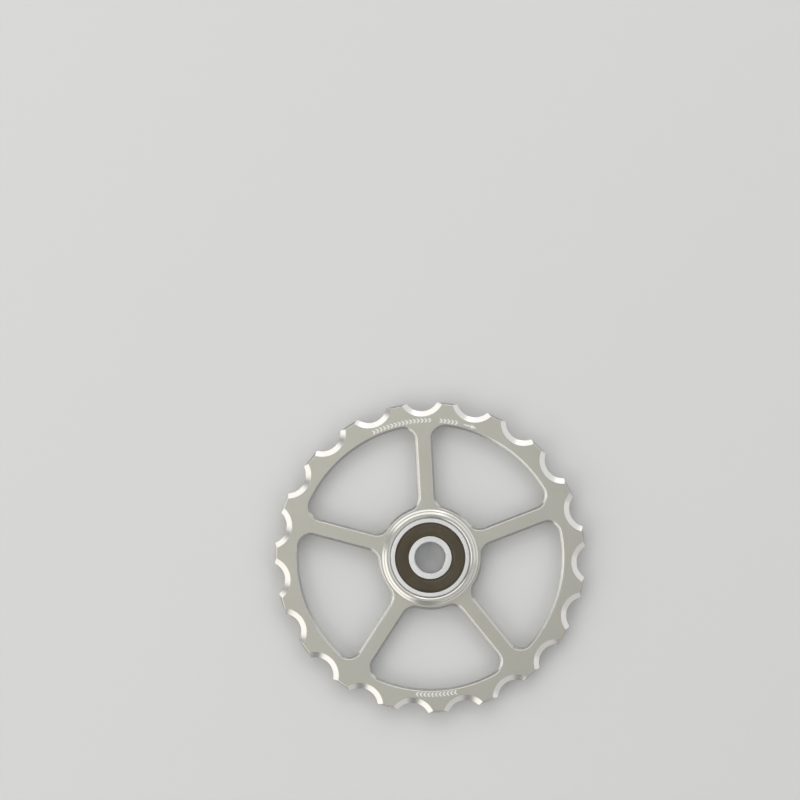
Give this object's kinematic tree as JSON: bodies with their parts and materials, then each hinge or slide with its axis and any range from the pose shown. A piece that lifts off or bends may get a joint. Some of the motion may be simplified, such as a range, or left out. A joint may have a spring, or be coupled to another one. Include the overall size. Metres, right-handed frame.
{
  "type": "derailleur jockey wheel",
  "caption": "Flat toothed pulley wheel with spokes and a sealed ball bearing in its hub; it guides and tensions the chain in a bicycle's rear derailleur.",
  "frame": {"origin": "centre of the axle bore, on the wheel's mid-plane", "axes": "+Z along the axle out of the front face, +Y along a spoke to a notch in the rim"},
  "size_m": [0.0736, 0.0733, 0.006],
  "materials": {
    "wheel_aluminium": "satin anodised, finely machined, bright bevels",
    "bearing_steel": "ground and polished",
    "seal_rubber": "moulded matt rubber",
    "cage_nylon": "moulded natural nylon",
    "ball_ceramic": "polished dark ceramic"
  },
  "bodies": {
    "inner_ring": {"bearing_inner_ring": "bearing_steel"},
    "wheel": {"pulley_wheel": "wheel_aluminium", "bearing_outer_ring": "bearing_steel", "front_seal": "seal_rubber", "rear_seal": "seal_rubber"},
    "cage": {"ball_cage": "cage_nylon"},
    "ball_1": {"ball_1": "ball_ceramic"},
    "ball_2": {"ball_2": "ball_ceramic"},
    "ball_3": {"ball_3": "ball_ceramic"},
    "ball_4": {"ball_4": "ball_ceramic"},
    "ball_5": {"ball_5": "ball_ceramic"},
    "ball_6": {"ball_6": "ball_ceramic"},
    "ball_7": {"ball_7": "ball_ceramic"}
  },
  "joints": [
    {"name": "wheel_spin", "type": "hinge", "parent": "inner_ring", "child": "wheel", "pos_m": [0, 0, 0], "axis": [0, 0, 1], "continuous": true},
    {"name": "cage_orbit", "type": "hinge", "parent": "inner_ring", "child": "cage", "pos_m": [0, 0, 0], "axis": [0, 0, 1], "continuous": true},
    {"name": "ball_1_roll", "type": "hinge", "parent": "cage", "child": "ball_1", "pos_m": [0.0065, 0, 0], "axis": [0, 0, 1], "continuous": true},
    {"name": "ball_2_roll", "type": "hinge", "parent": "cage", "child": "ball_2", "pos_m": [0.00405, 0.00508, 0], "axis": [0, 0, 1], "continuous": true},
    {"name": "ball_3_roll", "type": "hinge", "parent": "cage", "child": "ball_3", "pos_m": [-0.00145, 0.00634, 0], "axis": [0, 0, 1], "continuous": true},
    {"name": "ball_4_roll", "type": "hinge", "parent": "cage", "child": "ball_4", "pos_m": [-0.00586, 0.00282, 0], "axis": [0, 0, 1], "continuous": true},
    {"name": "ball_5_roll", "type": "hinge", "parent": "cage", "child": "ball_5", "pos_m": [-0.00586, -0.00282, 0], "axis": [0, 0, 1], "continuous": true},
    {"name": "ball_6_roll", "type": "hinge", "parent": "cage", "child": "ball_6", "pos_m": [-0.00145, -0.00634, 0], "axis": [0, 0, 1], "continuous": true},
    {"name": "ball_7_roll", "type": "hinge", "parent": "cage", "child": "ball_7", "pos_m": [0.00405, -0.00508, 0], "axis": [0, 0, 1], "continuous": true}
  ],
  "couplings": [
    {"joint": "cage_orbit", "follows": "wheel_spin", "ratio": 0.62211},
    {"joint": "ball_1_roll", "follows": "wheel_spin", "ratio": 1.9251},
    {"joint": "ball_2_roll", "follows": "wheel_spin", "ratio": 1.9251},
    {"joint": "ball_3_roll", "follows": "wheel_spin", "ratio": 1.9251},
    {"joint": "ball_4_roll", "follows": "wheel_spin", "ratio": 1.9251},
    {"joint": "ball_5_roll", "follows": "wheel_spin", "ratio": 1.9251},
    {"joint": "ball_6_roll", "follows": "wheel_spin", "ratio": 1.9251},
    {"joint": "ball_7_roll", "follows": "wheel_spin", "ratio": 1.9251}
  ]
}
